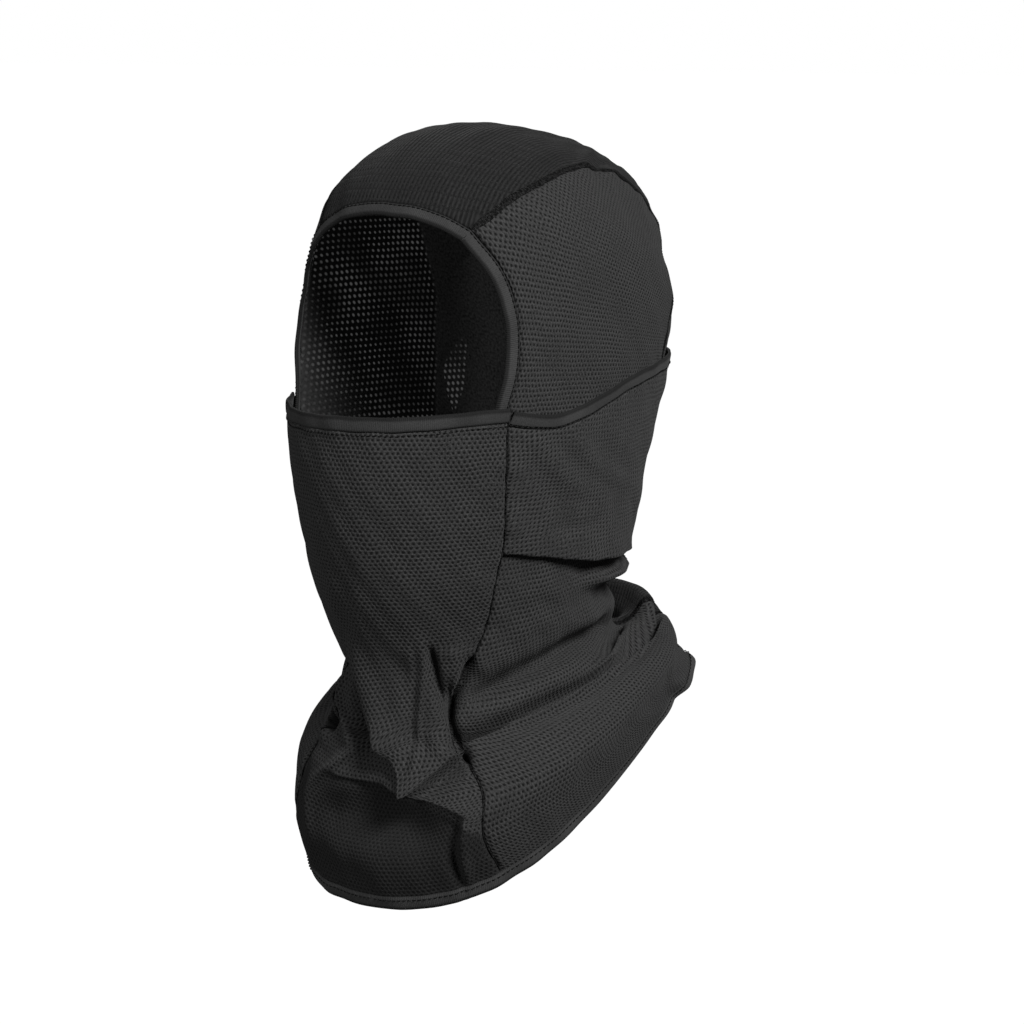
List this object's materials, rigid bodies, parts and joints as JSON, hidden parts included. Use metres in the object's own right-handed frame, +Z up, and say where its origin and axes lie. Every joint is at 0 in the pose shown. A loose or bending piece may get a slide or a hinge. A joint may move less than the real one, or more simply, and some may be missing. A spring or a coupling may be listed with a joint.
{
  "type": "ventilated balaclava",
  "caption": "Mesh knit balaclava with a bound face opening, an over-face mask panel, a strap round the nape and a slanting neck bib with a bound hem.",
  "frame": {"origin": "inside top of the crown, on the middle of the head, where the hood rests on a head", "axes": "+Z up, the face looks to -Y, the wearer's left is +X"},
  "size_m": [0.1684, 0.2131, 0.3608],
  "materials": {
    "mesh_knit": "black ventilated mesh knit, matt with a faint sheen",
    "binding": "smooth black elastic binding"
  },
  "bodies": {
    "root": {"centre_panel": "mesh_knit", "hood_side_left": "mesh_knit", "hood_side_right": "mesh_knit", "face_panel": "mesh_knit", "nape_strap": "mesh_knit", "opening_binding": "binding", "mask_band": "binding", "strap_band": "binding", "hem_binding": "binding"}
  },
  "joints": []
}
